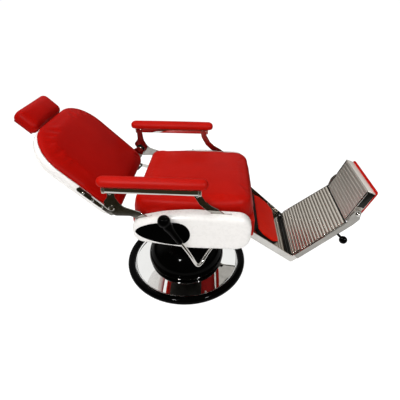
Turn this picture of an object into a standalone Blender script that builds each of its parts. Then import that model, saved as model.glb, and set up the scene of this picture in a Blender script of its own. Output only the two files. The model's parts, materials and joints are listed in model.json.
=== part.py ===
"""Hydraulic barber chair, reclined, with its leg rest raised.

Metres, +Z up. X points from the back towards the feet, Y to the sitter's left.
The origin is the centre of the round base, on the floor.
"""
import math

import bmesh
import bpy
from mathutils import Matrix, Vector

# Driving dimensions -------------------------------------------------------
GAP = 0.0003                 # between pieces that touch
RUNNING = 0.0004             # radial clearance of shafts and pins

BASE_RADIUS = 0.350          # outside of the black trim ring
RING_WIDTH = 0.042
RING_HEIGHT = 0.040
DISC_RIM_HEIGHT = 0.020
DISC_LAND_HEIGHT = 0.040     # level land that carries the pump and its cover
DISC_LAND_RADIUS = 0.215
COVER_RADIUS = 0.219
COVER_RIM_RADIUS = 0.200
COVER_BULGE_Z = 0.065        # height of the cover's widest ring
COVER_TOP_Z = 0.220
COVER_WALL = 0.003
CYLINDER_RADIUS = 0.045
CYLINDER_TOP_Z = 0.262
PISTON_RADIUS = 0.030
PISTON_FOOT_Z = 0.075
FLANGE_Z = 0.330             # face on which the seat turns

RAIL_LOW, RAIL_HIGH = 0.425, 0.465           # steel rails under the seat
RAIL_INNER, RAIL_OUTER = 0.195, 0.215
SEAT_REAR, SEAT_FRONT = -0.215, 0.342
SEAT_HALF_REAR, SEAT_HALF_FRONT = 0.262, 0.266
SEAT_LOW, SEAT_TOP = 0.505, 0.613
SEAT_EDGE = 0.040            # radius of the cushion's rolled edges
REAR_TUBE = (-0.140, 0.445)                  # x, z of the rear cross tube
LEG_PIVOT = (0.295, 0.443)                   # x, z of the leg rest's shaft
BACK_PIVOT = (-0.290, 0.590)                 # x, z of the recline pins
SHAFT_RADIUS = 0.011
TUBE_RADIUS = 0.012
PIN_RADIUS = 0.008           # recline pins
ROD_PIN_RADIUS = 0.006
BOLT_RADIUS = 0.006          # foot flap's bolts

SHELL_INNER, SHELL_OUTER = 0.276, 0.340      # |y| of the white side shells
SHELL_WALL = 0.004
ARM_PLATE = (0.2990, 0.3045)                 # |y| of arm brackets and struts
ARM_CHANNEL_Y = (0.3050, 0.3370)
ARM_PAD_Y = (0.2855, 0.3415)
ARM_PAD_X = (-0.331, 0.136)
ARM_CHANNEL_Z = (0.690, 0.716)
ARM_PAD_TOP = 0.757

BACK_ANGLE = 135.5           # direction up the back, from +X towards +Z
BACK_HALF = 0.279
BACK_BOTTOM, BACK_TOP = -0.045, 0.437
BACK_FACE, BACK_SPLIT, BACK_REAR = 0.012, -0.030, -0.088
HEADREST_S = (0.4390, 0.5490)
HEADREST_HALF = 0.134
HEADREST_AXIS = (0.497, -0.0925)             # along and out of the back

CRANK = 0.080                # pivot to connecting-rod pin, straight down
ROD_Y = (0.2480, 0.2560)     # y of the connecting rod, left side only

LEG_ANGLE = -39.6            # direction down the leg rest
FOOT_ANGLE = 43.8            # direction up the foot plate
KNEE = (0.565, 0.240)        # x, z where the two surfaces meet
LEG_RAIL_Y = 0.232           # |y| outside of a leg rail at its shaft
LEG_RAIL_LEAN = 0.166        # how much the rails close in, per metre of x
FOOT_RAIL_Y = 0.1925         # |y| outside of a foot rail at the knee
FOOT_RAIL_LEAN = 0.075
SIDE_PLATE = 0.005           # thickness of leg and foot rails
RIB_PITCH = 0.0175
RIB_DEPTH = 0.0030
FLAP_AXIS = (0.837, 0.507)
FLAP_ANGLE = 69.7            # direction up the flap
FLAP_HALF = 0.157
LEVER_AXIS = (0.190, 0.395)
RELEASE_AXIS = (-0.030, 0.490)

SIDES = (("right", -1), ("left", 1))

COLOURS = {                  # linear colour, roughness, metallic
    "red_leather": ((0.52, 0.012, 0.010), 0.45, 0.0),
    "white_shell": ((0.90, 0.88, 0.85), 0.25, 0.0),
    "black_gloss": ((0.006, 0.006, 0.006), 0.12, 0.0),
    "black_rubber": ((0.02, 0.02, 0.02), 0.60, 0.0),
    "chrome": ((0.80, 0.80, 0.80), 0.08, 1.0),
    "ribbed_metal": ((0.55, 0.53, 0.50), 0.28, 1.0),
    "dark_steel": ((0.10, 0.10, 0.10), 0.45, 0.8),
    "plywood": ((0.55, 0.38, 0.22), 0.70, 0.0),
}


# Work planes and outlines -------------------------------------------------
class Plane:
    """A plane in side view: along a direction, and out of a surface."""

    def __init__(self, x, z, angle, out_turn=90.0):
        turn = math.radians(angle)
        out = math.radians(angle + out_turn)
        self.origin = Vector((x, 0.0, z))
        self.along = Vector((math.cos(turn), 0.0, math.sin(turn)))
        self.out = Vector((math.cos(out), 0.0, math.sin(out)))

    def local(self, x, z):
        """Distances along and out of the plane for a point in side view."""
        offset = Vector((x, 0.0, z)) - self.origin
        return offset.dot(self.along), offset.dot(self.out)

    def world(self, along, out):
        point = self.origin + self.along * along + self.out * out
        return point.x, point.z

    def side_view(self):
        """Matrix whose own X is along, Y is out, Z across the chair."""
        return axes_matrix(self.along, self.out, self.origin)

    def face_view(self):
        """Matrix whose own X is along, Z is out, Y across the chair."""
        across = self.out.cross(self.along)
        return axes_matrix(self.along, across, self.origin)


def axes_matrix(first, second, origin):
    third = first.cross(second)
    turn = Matrix((first, second, third)).transposed().to_4x4()
    return Matrix.Translation(origin) @ turn


def meeting(plane_a, out_a, plane_b, out_b):
    """Side-view point where a line of one plane meets a line of another."""
    start = Vector(plane_a.world(0.0, out_a))
    other = Vector(plane_b.world(0.0, out_b))
    along = Vector((plane_a.along.x, plane_a.along.z))
    normal = Vector((plane_b.out.x, plane_b.out.z))
    return start + along * ((other - start).dot(normal) / along.dot(normal))


def rounded(corners, steps=4):
    """Closed outline from corners (x, y, radius)."""
    points = []
    for index, (x, y, radius) in enumerate(corners):
        here = Vector((x, y))
        back = (Vector(corners[index - 1][:2]) - here).normalized()
        ahead = (Vector(corners[(index + 1) % len(corners)][:2]) - here).normalized()
        if radius == 0.0:
            points.append(here)
            continue
        half = back.angle(ahead) / 2
        centre = here + (back + ahead).normalized() * radius / math.sin(half)
        start = here + back * radius / math.tan(half) - centre
        end = here + ahead * radius / math.tan(half) - centre
        first = math.atan2(start.y, start.x)
        sweep = math.remainder(math.atan2(end.y, end.x) - first, math.tau)
        for step in range(steps + 1):
            angle = first + sweep * step / steps
            points.append(centre + Vector((math.cos(angle), math.sin(angle))) * radius)
    return points


def symmetric(corners):
    """A closed outline from one side's corners and their mirror in y."""
    return [(x, -y, r) for x, y, r in corners] + list(reversed(corners))


def circle(x, y, radius, steps=16):
    turns = (math.tau * step / steps for step in range(steps))
    return [Vector((x + radius * math.cos(a), y + radius * math.sin(a))) for a in turns]


def leaf(tail, nose, half, steps=10):
    """Teardrop outline between two points, fullest at three quarters."""
    start, end = Vector(tail), Vector(nose)
    along = (end - start).normalized()
    side = Vector((-along.y, along.x))
    full = 0.75
    edge = []
    for step in range(steps + 1):
        share = full * (1 - math.cos(math.pi / 2 * step / steps))
        edge.append((share, (1 - (1 - share / full) ** 1.9) ** 0.59))
    for step in range(1, steps // 2 + 1):
        turn = math.pi / 2 * step / (steps // 2)
        edge.append((full + (1 - full) * math.sin(turn), math.cos(turn)))
    upper = [start.lerp(end, share) + side * half * height for share, height in edge]
    lower = [start.lerp(end, share) - side * half * height for share, height in edge]
    return upper + lower[-2:0:-1]


def strip(centre_line, width):
    """Outline of a flat bar of one width that follows a line of points."""
    line = [Vector(point) for point in centre_line]
    left, right = [], []
    for index, point in enumerate(line):
        before = line[max(index - 1, 0)]
        after = line[min(index + 1, len(line) - 1)]
        along = (after - before).normalized()
        side = Vector((-along.y, along.x)) * width / 2
        left.append(point + side)
        right.append(point - side)
    return left + right[::-1]


def ribbed(start, end, top, bottom, pitch, depth):
    """Side outline of a plate whose top face has a row of rounded ribs."""
    count = round((end - start) / pitch)
    step = (end - start) / count
    points = [Vector((start, bottom)), Vector((start, top - depth))]
    for rib in range(count):
        foot = start + rib * step
        for share, height in ((0.18, -depth), (0.36, 0.0), (0.82, 0.0), (1.0, -depth)):
            points.append(Vector((foot + share * step, top + height)))
    points.append(Vector((end, bottom)))
    return points


# Making solids ------------------------------------------------------------
def add_object(name, data, matrix, collection, material=None):
    obj = bpy.data.objects.new(name, data)
    collection.objects.link(obj)
    obj.matrix_world = matrix
    if material:
        obj.data.materials.append(MATERIALS[material])
    bpy.context.view_layer.update()
    return obj


def as_mesh(curve_obj):
    """Replace a curve object by a welded mesh object of the same shape."""
    name, matrix = curve_obj.name, curve_obj.matrix_world.copy()
    collection = curve_obj.users_collection[0]
    graph = bpy.context.evaluated_depsgraph_get()
    mesh = bpy.data.meshes.new_from_object(curve_obj.evaluated_get(graph))
    bpy.data.objects.remove(curve_obj)
    shape = bmesh.new()
    shape.from_mesh(mesh)
    bmesh.ops.remove_doubles(shape, verts=shape.verts, dist=0.00001)
    bmesh.ops.recalc_face_normals(shape, faces=shape.faces)
    shape.to_mesh(mesh)
    shape.free()
    mesh.name = name
    obj = bpy.data.objects.new(name, mesh)
    collection.objects.link(obj)
    obj.matrix_world = matrix
    bpy.context.view_layer.update()
    return obj


def extruded(name, outlines, low, high, matrix, material, bevel=0.0, collection=None):
    """A flat outline, with holes if more follow, between two heights."""
    curve = bpy.data.curves.new(name, "CURVE")
    curve.dimensions = "2D"
    curve.fill_mode = "BOTH"
    for outline in outlines:
        spline = curve.splines.new("POLY")
        spline.points.add(len(outline) - 1)
        for point, place in zip(spline.points, outline):
            point.co = (place[0], place[1], 0.0, 1.0)
        spline.use_cyclic_u = True
    curve.extrude = (high - low) / 2 - bevel
    curve.bevel_depth = bevel
    curve.bevel_resolution = 1
    curve.offset = -bevel
    obj = as_mesh(add_object(name, curve, matrix, collection or PARTS, material))
    obj.data.transform(Matrix.Translation((0.0, 0.0, (low + high) / 2)))
    return obj


def side_plate(name, plane, outlines, y_low, y_high, material, bevel=0.0, collection=None):
    """A plate that stands in side view between two values of y."""
    matrix = plane.side_view()
    across = matrix.col[2].y
    low, high = sorted((y_low * across, y_high * across))
    return extruded(name, outlines, low, high, matrix, material, bevel, collection)


def pad(name, plane, outline, low, high, material, bevel=0.0, collection=None):
    """A slab that lies on a plane, its outline along and across the chair."""
    return extruded(name, [outline], low, high, plane.face_view(), material, bevel,
                    collection)


def box(name, low, high, material=None, plane=None, collection=None):
    """A block between two corners, in the plane's along, across and out."""
    shape = bmesh.new()
    bmesh.ops.create_cube(shape, size=1.0)
    size = Vector(high) - Vector(low)
    bmesh.ops.scale(shape, vec=size, verts=shape.verts)
    bmesh.ops.translate(shape, vec=(Vector(high) + Vector(low)) / 2, verts=shape.verts)
    mesh = bpy.data.meshes.new(name)
    shape.to_mesh(mesh)
    shape.free()
    matrix = plane.face_view() if plane else Matrix()
    return add_object(name, mesh, matrix, collection or PARTS, material)


def turned(name, profile, matrix, material, steps, closed=False, collection=None):
    """A profile (radius, height), listed down its outer side, turned about Z."""
    mesh = bpy.data.meshes.new(name)
    edges = [(i, i + 1) for i in range(len(profile) - 1)]
    if closed:
        edges.append((len(profile) - 1, 0))
    mesh.from_pydata([(r, 0.0, z) for r, z in profile], edges, [])
    obj = add_object(name, mesh, matrix, collection or PARTS, material)
    screw = obj.modifiers.new("Turn", "SCREW")
    screw.steps = screw.render_steps = steps
    screw.use_merge_vertices = True
    screw.merge_threshold = 0.00001
    screw.use_smooth_shade = True
    return obj


def across_chair(x, z, y, side):
    """Matrix at a point of the side view whose Z points out to one side."""
    return Matrix.Translation((x, y, z)) @ Matrix.Rotation(-side * math.pi / 2, 4, "X")


def rod_across(name, x, z, y_low, y_high, radius, material=None, collection=None):
    """A plain round bar across the chair."""
    length = y_high - y_low
    profile = [(0.0, length), (radius, length), (radius, 0.0), (0.0, 0.0)]
    return turned(name, profile, across_chair(x, z, y_low, 1), material, 16,
                  collection=collection)


def tube(name, points, radius, material):
    """A round bar along a line of points."""
    curve = bpy.data.curves.new(name, "CURVE")
    curve.dimensions = "3D"
    spline = curve.splines.new("POLY")
    spline.points.add(len(points) - 1)
    for point, place in zip(spline.points, points):
        point.co = (*place, 1.0)
    curve.bevel_depth = radius
    curve.bevel_resolution = 3
    curve.use_fill_caps = True
    return as_mesh(add_object(name, curve, Matrix(), PARTS, material))


def boolean(obj, tool, operation="DIFFERENCE"):
    """Cut an object with a tool, or join the tool to it."""
    modifier = obj.modifiers.new(tool.name, "BOOLEAN")
    modifier.operation = operation
    modifier.object = tool
    tool.hide_render = True
    tool.display_type = "WIRE"


def drill(obj, x, z, radius, y_low, y_high):
    """Bore a hole across the chair through an object."""
    name = f"{obj.name}_bore_{len(obj.modifiers)}"
    boolean(obj, rod_across(name, x, z, y_low, y_high, radius, collection=CUTTERS))


def lean(obj, side, rate, x_from, rate_after_knee=None):
    """Shift an object towards the middle as x grows past x_from."""
    matrix, back = obj.matrix_world, obj.matrix_world.inverted()
    for vertex in obj.data.vertices:
        place = matrix @ vertex.co
        beyond = max(place.x - KNEE[0], 0.0) if rate_after_knee else 0.0
        shift = rate * (place.x - x_from - beyond) + (rate_after_knee or 0.0) * beyond
        place.y -= side * shift
        vertex.co = back @ place


def narrow(obj, rate, x_from):
    """Make an object narrower as x grows past x_from."""
    matrix, back = obj.matrix_world, obj.matrix_world.inverted()
    for vertex in obj.data.vertices:
        place = matrix @ vertex.co
        place.y *= 1.0 - rate * (place.x - x_from)
        vertex.co = back @ place


# Base and lift ------------------------------------------------------------
def base_disc():
    """Dished steel base with a foot at its centre and a rim on the floor."""
    edge = BASE_RADIUS - RING_WIDTH - GAP
    skin = 0.009
    profile = [(0.0, DISC_LAND_HEIGHT), (DISC_LAND_RADIUS, DISC_LAND_HEIGHT),
               (edge - 0.004, DISC_RIM_HEIGHT + 0.001), (edge, DISC_RIM_HEIGHT - 0.002),
               (edge, 0.0), (edge - 0.022, 0.0), (edge - 0.026, DISC_RIM_HEIGHT - skin),
               (DISC_LAND_RADIUS, DISC_LAND_HEIGHT - skin),
               (0.065, DISC_LAND_HEIGHT - skin), (0.060, 0.0), (0.0, 0.0)]
    turned("base_disc", profile, Matrix(), "chrome", 48)


def base_ring():
    inner = BASE_RADIUS - RING_WIDTH
    section = rounded([(inner, RING_HEIGHT, 0.016), (BASE_RADIUS, RING_HEIGHT, 0.019),
                       (BASE_RADIUS, 0.0, 0.006), (inner, 0.0, 0.004)], 2)
    turned("base_ring", section, Matrix(), "black_gloss", 48, closed=True)


def pump_cover():
    """Bell-shaped cover: bulging side, domed top and a hole for the pump."""
    hole = CYLINDER_RADIUS + 0.003
    low = DISC_LAND_HEIGHT + GAP

    def skin(inset):
        rise = COVER_TOP_Z - COVER_BULGE_Z - inset
        reach = COVER_RADIUS - inset
        dome = []
        first = math.acos(hole / reach)
        for step in range(7):
            angle = first * (1 - step / 6)
            dome.append((reach * math.cos(angle), COVER_BULGE_Z + rise * math.sin(angle)))
        drop, narrow_by = COVER_BULGE_Z - low, COVER_RADIUS - COVER_RIM_RADIUS
        under = []
        for share in (0.40, 0.70, 0.90, 1.0):
            curve = 1 - math.sqrt(1 - share ** 2)
            under.append((reach - narrow_by * curve, COVER_BULGE_Z - drop * share))
        return dome + under

    profile = skin(0.0) + skin(COVER_WALL)[::-1]
    turned("pump_cover", profile, Matrix(), "black_gloss", 36, closed=True)


def pump_cylinder():
    bore, floor = PISTON_RADIUS + RUNNING, PISTON_FOOT_Z - 0.010
    low = DISC_LAND_HEIGHT + GAP
    profile = [(0.0, floor), (bore, floor), (bore, CYLINDER_TOP_Z),
               (CYLINDER_RADIUS, CYLINDER_TOP_Z), (CYLINDER_RADIUS, low), (0.0, low)]
    turned("pump_cylinder", profile, Matrix(), "dark_steel", 24)


def lift_piston():
    """Ram with the flange and spigot on which the seat turns."""
    spigot = 0.022
    profile = [(0.0, FLANGE_Z + 0.028), (spigot, FLANGE_Z + 0.028), (spigot, FLANGE_Z),
               (0.055, FLANGE_Z), (0.055, FLANGE_Z - 0.012),
               (PISTON_RADIUS, FLANGE_Z - 0.014), (PISTON_RADIUS, PISTON_FOOT_Z),
               (0.0, PISTON_FOOT_Z)]
    turned("lift_piston", profile, Matrix(), "chrome", 24)


def swivel_housing():
    bore, low, high = 0.022 + RUNNING, FLANGE_Z + GAP, RAIL_LOW - 0.0126
    profile = [(0.0, high), (0.078, high), (0.078, high - 0.012), (0.058, high - 0.020),
               (0.058, low), (bore, low), (bore, FLANGE_Z + 0.030), (0.0, FLANGE_Z + 0.030)]
    turned("swivel_housing", profile, Matrix(), "dark_steel", 24)


# Seat ---------------------------------------------------------------------
def seat_frame():
    """Mounting plate, two rails, the rear tube and the leg rest's shaft."""
    plate_top = RAIL_LOW - GAP
    box("mount_plate", (-0.155, -RAIL_OUTER, plate_top - 0.012),
        (0.150, RAIL_OUTER, plate_top), "dark_steel")
    for word, side in SIDES:
        low, high = sorted((side * RAIL_INNER, side * RAIL_OUTER))
        rail = box(f"seat_rail_{word}", (-0.170, low, RAIL_LOW), (0.315, high, RAIL_HIGH),
                   "dark_steel")
        drill(rail, *REAR_TUBE, TUBE_RADIUS + GAP, low - 0.01, high + 0.01)
        drill(rail, *LEG_PIVOT, SHAFT_RADIUS + GAP, low - 0.01, high + 0.01)
    reach = ARM_PLATE[1] + 0.002
    rod_across("rear_cross_tube", *REAR_TUBE, -reach, reach, TUBE_RADIUS, "chrome")
    rod_across("leg_pivot_shaft", *LEG_PIVOT, -reach, reach, SHAFT_RADIUS, "chrome")


def seat_upholstery():
    box("seat_base", (-0.185, -0.222, RAIL_HIGH + GAP), (0.300, 0.222, SEAT_LOW - GAP),
        "plywood")
    outline = rounded(symmetric([(SEAT_REAR, SEAT_HALF_REAR, 0.045),
                                 (SEAT_FRONT, SEAT_HALF_FRONT, 0.085)]), 6)
    pad("seat_cushion", SEAT_PLANE, outline, SEAT_LOW, SEAT_TOP, "red_leather",
        SEAT_EDGE)


def side_shells():
    """White casing over the mechanism at each side, with a black inset."""
    corners = [(-0.203, 0.535, 0.050), (-0.060, 0.572, 0.300), (0.060, 0.5855, 0.500),
               (0.328, 0.576, 0.062), (0.328, 0.399, 0.068), (0.050, 0.395, 0.500),
               (-0.203, 0.428, 0.050)]
    inset = leaf((-0.187, 0.494), (0.0575, 0.4845), 0.0625)
    wall = SHELL_WALL
    inner = [(x + (wall if x < 0 else -wall), z + (wall if z < 0.5 else -wall), r - wall)
             for x, z, r in corners]
    for word, side in SIDES:
        shell = side_plate(f"side_shell_{word}", SEAT_PLANE, [rounded(corners)],
                           side * SHELL_INNER, side * SHELL_OUTER, "white_shell", 0.016)
        hollow = side_plate(f"side_hollow_{word}", SEAT_PLANE, [rounded(inner)],
                            side * (SHELL_INNER - 0.030), side * (SHELL_OUTER - wall),
                            None, 0.013, CUTTERS)
        boolean(shell, hollow)
        slot = sorted((side * (ARM_PLATE[0] - 0.002), side * (ARM_PLATE[1] + 0.002)))
        for end, x0, x1, z0 in (("rear", -0.230, -0.112, 0.500), ("front", 0.146, 0.240, 0.545)):
            cutter = box(f"slot_{end}_{word}", (x0, slot[0], z0), (x1, slot[1], 0.610),
                         collection=CUTTERS)
            boolean(shell, cutter)
        side_plate(f"side_inset_{word}", SEAT_PLANE, [inset], side * (SHELL_OUTER + GAP),
                   side * (SHELL_OUTER + 0.0045), "black_gloss", 0.001)


# Arms ---------------------------------------------------------------------
def arm_brackets():
    """Rear boomerang brackets and front struts that carry the arms."""
    boomerang = rounded([
        (-0.300, 0.7120, 0.004), (-0.272, 0.7120, 0.004), (-0.266, 0.645, 0.040),
        (-0.243, 0.600, 0.050), (-0.165, 0.573, 0.040), (-0.116, 0.536, 0.030),
        (-0.116, 0.427, 0.022), (-0.164, 0.427, 0.022), (-0.170, 0.516, 0.040),
        (-0.205, 0.551, 0.030), (-0.284, 0.549, 0.020), (-0.323, 0.621, 0.010),
        (-0.300, 0.650, 0.020)], 3)
    strut = strip([(0.080, 0.712), (0.087, 0.676), (0.110, 0.634), (0.138, 0.607),
                   (0.172, 0.588), (0.206, 0.560), (0.252, 0.496), (0.303, 0.430)], 0.030)
    for word, side in SIDES:
        low, high = side * ARM_PLATE[0], side * ARM_PLATE[1]
        holes = [circle(*BACK_PIVOT, PIN_RADIUS + GAP), circle(*REAR_TUBE, TUBE_RADIUS + GAP)]
        side_plate(f"arm_bracket_{word}", SEAT_PLANE, [boomerang, *holes], low, high, "chrome")
        hole = circle(*LEG_PIVOT, SHAFT_RADIUS + GAP)
        side_plate(f"arm_strut_{word}", SEAT_PLANE, [strut, hole], low, high, "chrome")


def arm_rests():
    for word, side in SIDES:
        inner, outer = sorted((side * ARM_CHANNEL_Y[0], side * ARM_CHANNEL_Y[1]))
        box(f"arm_channel_{word}", (-0.306, inner, ARM_CHANNEL_Z[0]),
            (0.106, outer, ARM_CHANNEL_Z[1]), "chrome")
        inner, outer = side * ARM_PAD_Y[0], side * ARM_PAD_Y[1]
        ends = rounded([(ARM_PAD_X[0], inner, 0.025), (ARM_PAD_X[1], inner, 0.025),
                        (ARM_PAD_X[1], outer, 0.027), (ARM_PAD_X[0], outer, 0.027)], 5)
        pad(f"arm_pad_{word}", SEAT_PLANE, ends, ARM_CHANNEL_Z[1] + GAP, ARM_PAD_TOP,
            "red_leather", 0.016)


# Backrest and headrest ----------------------------------------------------
def back_outline(inset=0.0):
    return rounded(symmetric([(BACK_BOTTOM + inset, BACK_HALF - inset, 0.070 - inset),
                              (BACK_TOP - inset, BACK_HALF - inset, 0.170 - inset)]), 6)


def backrest():
    """Padded front, board, and white shell hollowed from the front."""
    pad("back_cushion", BACK, back_outline(), BACK_SPLIT, BACK_FACE, "red_leather", 0.014)
    shell = pad("back_shell", BACK, back_outline(), BACK_REAR, BACK_SPLIT - GAP,
                "white_shell", 0.020)
    hollow = pad("back_hollow", BACK, back_outline(SHELL_WALL), BACK_REAR + SHELL_WALL,
                 BACK_SPLIT + 0.030, None, 0.016, CUTTERS)
    boolean(shell, hollow)
    front = BACK_SPLIT - 2 * GAP
    pad("back_board", BACK, back_outline(0.022), front - 0.012, front, "plywood")


def back_brackets():
    """Side plates that hang the back on its pins, and the rod's crank."""
    plate = rounded([(0.164, -0.053, 0.012), (0.164, -0.028, 0.012), (0.030, -0.028, 0.010),
                     (0.018, 0.016, 0.014), (-0.020, 0.016, 0.014), (-0.036, -0.030, 0.012),
                     (-0.030, -0.053, 0.012)], 4)
    for word, side in SIDES:
        low, high = side * (BACK_HALF + GAP), side * (BACK_HALF + 0.0055)
        hole = circle(0.0, 0.0, PIN_RADIUS + RUNNING)
        side_plate(f"back_bracket_{word}", BACK, [plate, hole], low, high, "dark_steel")
        length = ARM_PLATE[1] - BACK_HALF - GAP
        pin = [(0.0, length + 0.006), (0.010, length + 0.006), (0.013, length + 0.003),
               (0.013, length + GAP), (PIN_RADIUS, length + GAP), (PIN_RADIUS, 0.0),
               (0.0, 0.0)]
        turned(f"back_pin_{word}", pin, across_chair(*BACK_PIVOT, side * (BACK_HALF + GAP), side),
               "chrome", 16)
    pin_s, pin_t = BACK.local(BACK_PIVOT[0], BACK_PIVOT[1] - CRANK)
    under, behind = BACK_BOTTOM - 0.001, BACK_REAR - GAP
    crank = rounded([(pin_s - 0.014, pin_t + 0.014, 0.012), (under, pin_t + 0.014, 0.004),
                     (under, behind, 0.0), (0.070, behind, 0.004), (0.070, behind - 0.018, 0.008),
                     (pin_s - 0.014, behind - 0.018, 0.020)], 4)
    bore = circle(pin_s, pin_t, ROD_PIN_RADIUS + RUNNING)
    side_plate("back_crank", BACK, [crank, bore], 0.2420, 0.2474, "dark_steel")


def headrest():
    """Sliding bar in its guide, tilt bracket, board and cushion."""
    s, t = HEADREST_AXIS
    bar = box("headrest_bar", (0.240, -0.025, t - 0.003), (s, 0.025, t + 0.003), "chrome", BACK)
    knuckle = rod_across("headrest_knuckle", *BACK.world(s, t), -0.036, 0.036, 0.008,
                         collection=CUTTERS)
    boolean(bar, knuckle, "UNION")
    guide = box("headrest_guide", (0.320, -0.040, t - 0.012), (0.385, 0.040, BACK_REAR - GAP),
                "dark_steel", BACK)
    slot = box("guide_slot", (0.300, -0.025 - GAP, t - 0.003 - GAP),
               (0.400, 0.025 + GAP, t + 0.003 + GAP), None, BACK, CUTTERS)
    boolean(guide, slot)
    bracket = box("headrest_bracket", (s - 0.014, -0.035, t - 0.013), (s + 0.026, 0.035, -0.0796),
                  "chrome", BACK)
    throat = box("bracket_throat", (s - 0.040, -0.029, t - 0.040), (s + 0.040, 0.029, -0.0826),
                 None, BACK, CUTTERS)
    boolean(bracket, throat)
    drill(bracket, *BACK.world(s, t), 0.008 + RUNNING, -0.05, 0.05)
    low, high = HEADREST_S
    box("headrest_board", (low + 0.012, -HEADREST_HALF + 0.014, -0.0793),
        (high - 0.012, HEADREST_HALF - 0.014, -0.0703), "plywood", BACK)
    outline = rounded(symmetric([(low, HEADREST_HALF, 0.022), (high, HEADREST_HALF, 0.022)]), 5)
    pad("headrest_cushion", BACK, outline, -0.0700, -0.0080, "red_leather", 0.016)


# Leg rest -----------------------------------------------------------------
def leg_rails():
    """Side plates from the shaft to the knee, the left one with a crank."""
    top, low = 0.016, -0.016
    arm_top, arm_low, arm_end = -0.0045, -0.036, 0.048
    knee_in = LEG.local(*meeting(LEG, top, FOOT, arm_top))
    knee_out = LEG.local(*meeting(LEG, low, FOOT, arm_low))
    end_in = LEG.local(*FOOT.world(arm_end, arm_top))
    end_out = LEG.local(*FOOT.world(arm_end, arm_low))
    pin_s, pin_t = LEG.local(LEG_PIVOT[0], LEG_PIVOT[1] - CRANK)
    beam = [(-0.022, top, 0.014), (*knee_in, 0.004), (*end_in, 0.002), (*end_out, 0.002),
            (*knee_out, 0.012)]
    plain = beam + [(-0.022, low, 0.014)]
    crank = beam + [(0.095, low, 0.030), (pin_s + 0.016, pin_t - 0.006, 0.013),
                    (pin_s - 0.014, pin_t - 0.014, 0.013), (-0.022, low, 0.020)]
    shaft = circle(0.0, 0.0, SHAFT_RADIUS + RUNNING)
    rod_bore = circle(pin_s, pin_t, ROD_PIN_RADIUS + RUNNING)
    shapes = {"right": [rounded(plain), shaft], "left": [rounded(crank), shaft, rod_bore]}
    for word, side in SIDES:
        rail = side_plate(f"leg_rail_{word}", LEG, shapes[word],
                          side * (LEG_RAIL_Y - SIDE_PLATE), side * LEG_RAIL_Y, "chrome")
        lean(rail, side, LEG_RAIL_LEAN, LEG_PIVOT[0], FOOT_RAIL_LEAN)


def leg_panel():
    """Panel between the leg rails, its calf pad, and a tie bar at the knee."""

    def half(along):
        x = LEG.world(along, 0.0)[0]
        return LEG_RAIL_Y - SIDE_PLATE - 0.001 - LEG_RAIL_LEAN * (x - LEG_PIVOT[0])

    near, far = 0.045, 0.337
    outline = rounded(symmetric([(near, half(near), 0.0), (far, half(far), 0.0)]))
    pad("leg_panel", LEG, outline, -0.006, -GAP, "chrome")
    calf = rounded(symmetric([(0.105, 0.155, 0.018), (0.140, 0.175, 0.060),
                              (0.210, 0.174, 0.060), (0.255, 0.140, 0.022)]), 3)
    pad("calf_pad", LEG, calf, 0.0, 0.018, "red_leather", 0.006)
    reach = LEG_RAIL_Y - SIDE_PLATE - 0.001 - LEG_RAIL_LEAN * (KNEE[0] - LEG_PIVOT[0])
    rod_across("knee_bar", KNEE[0] + 0.0025, KNEE[1] - 0.0105, -reach, reach, 0.005, "chrome")


def foot_plate():
    """Ribbed tread between the foot rails."""
    near, far = 0.002, 0.310
    half = FOOT_RAIL_Y - SIDE_PLATE - 0.001
    outline = ribbed(near, far, 0.0, -0.014, RIB_PITCH, RIB_DEPTH)
    plate = side_plate("foot_plate", FOOT, [outline], -half, half, "ribbed_metal")
    narrow(plate, FOOT_RAIL_LEAN / half, KNEE[0])
    for word, side in SIDES:
        inner, outer = sorted((side * (half - 0.0085), side * (half + 0.02)))
        notch = box(f"tread_notch_{word}", (-0.02, inner, -0.03), (0.052, outer, 0.01), None,
                    FOOT, CUTTERS)
        boolean(plate, notch)


def foot_rails():
    """Side rails of the foot plate, with ears for the flap and bumpers."""
    ear_s, ear_t = FOOT.local(*FLAP_AXIS)
    outline = rounded([(0.014, -0.004, 0.003), (0.318, -0.004, 0.010), (0.352, 0.022, 0.016),
                       (ear_s + 0.006, ear_t + 0.027, 0.016), (ear_s + 0.024, ear_t + 0.004, 0.016),
                       (ear_s - 0.010, ear_t - 0.034, 0.016), (0.330, -0.036, 0.030),
                       (0.014, -0.036, 0.003)], 4)
    bolt_hole = circle(ear_s, ear_t, BOLT_RADIUS + GAP)
    for word, side in SIDES:
        rail = side_plate(f"foot_rail_{word}", FOOT, [outline, bolt_hole],
                          side * (FOOT_RAIL_Y - SIDE_PLATE), side * FOOT_RAIL_Y, "ribbed_metal")
        lean(rail, side, FOOT_RAIL_LEAN, KNEE[0])
        flap_bolt(word, side)
        foot_bumper(word, side)


def flap_bolt(word, side):
    ear_y = FOOT_RAIL_Y - FOOT_RAIL_LEAN * (FLAP_AXIS[0] - KNEE[0])
    inner = FLAP_HALF - 0.006
    reach = ear_y - inner + 0.003
    profile = [(0.0, reach + 0.006), (0.007, reach + 0.006), (0.010, reach + 0.003),
               (0.010, reach), (BOLT_RADIUS, reach), (BOLT_RADIUS, 0.0), (0.0, 0.0)]
    turned(f"flap_bolt_{word}", profile, across_chair(*FLAP_AXIS, side * inner, side),
           "chrome", 16)


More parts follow.
